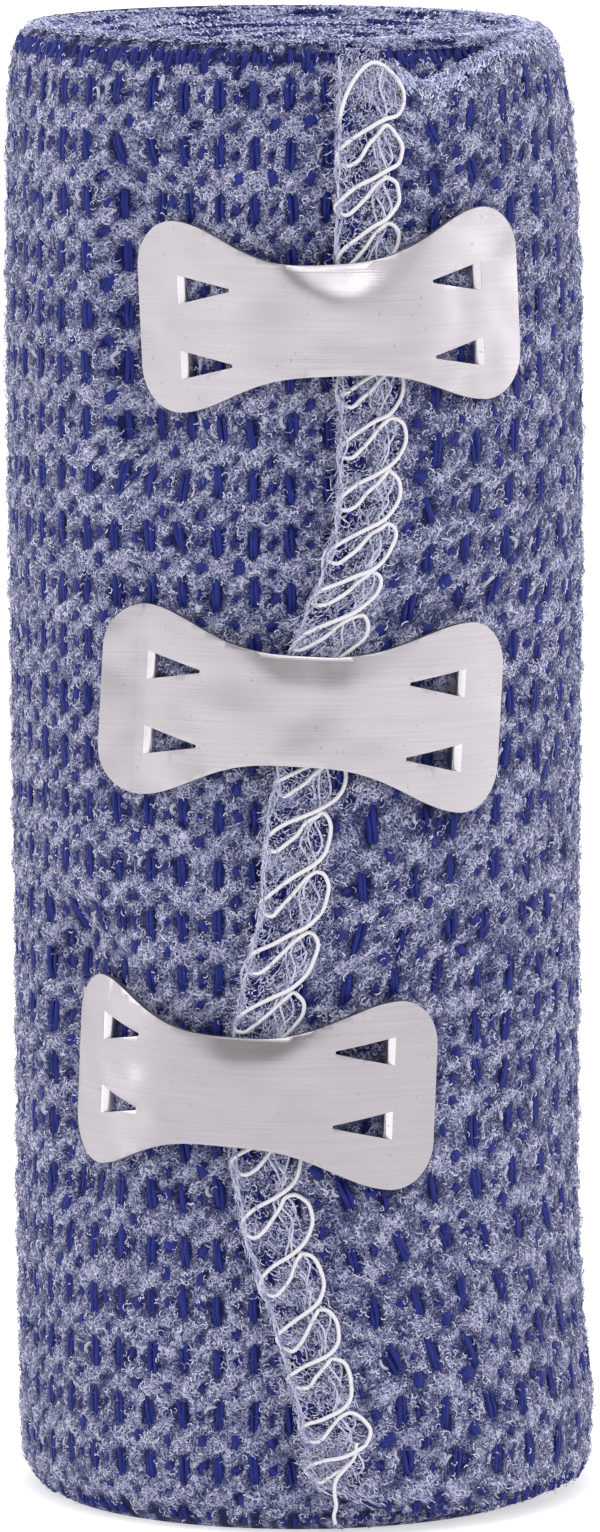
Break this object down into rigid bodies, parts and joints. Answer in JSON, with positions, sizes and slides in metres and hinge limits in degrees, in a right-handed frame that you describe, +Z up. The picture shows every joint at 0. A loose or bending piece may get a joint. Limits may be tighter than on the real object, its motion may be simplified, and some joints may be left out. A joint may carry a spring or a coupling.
{
  "type": "crepe bandage roll",
  "caption": "Crepe bandage wound into an upright roll, its overlocked loose end held down the front by pressed metal bandage clips.",
  "frame": {"origin": "centre of the roll's flat lower end, on the axis that the cloth is wound round", "axes": "+Z up along the roll's axis, -Y out through the clips and the stitched end, +X to the right as the clips are seen"},
  "size_m": [0.0402, 0.0416, 0.1008],
  "materials": {
    "crepe": "fuzzy blue-flecked crepe weave",
    "aluminium": "satin, finely brushed along the clip"
  },
  "bodies": {
    "root": {"bandage_roll": "crepe", "loose_end": "crepe", "clip_top": "aluminium", "clip_middle": "aluminium", "clip_bottom": "aluminium"}
  },
  "joints": []
}
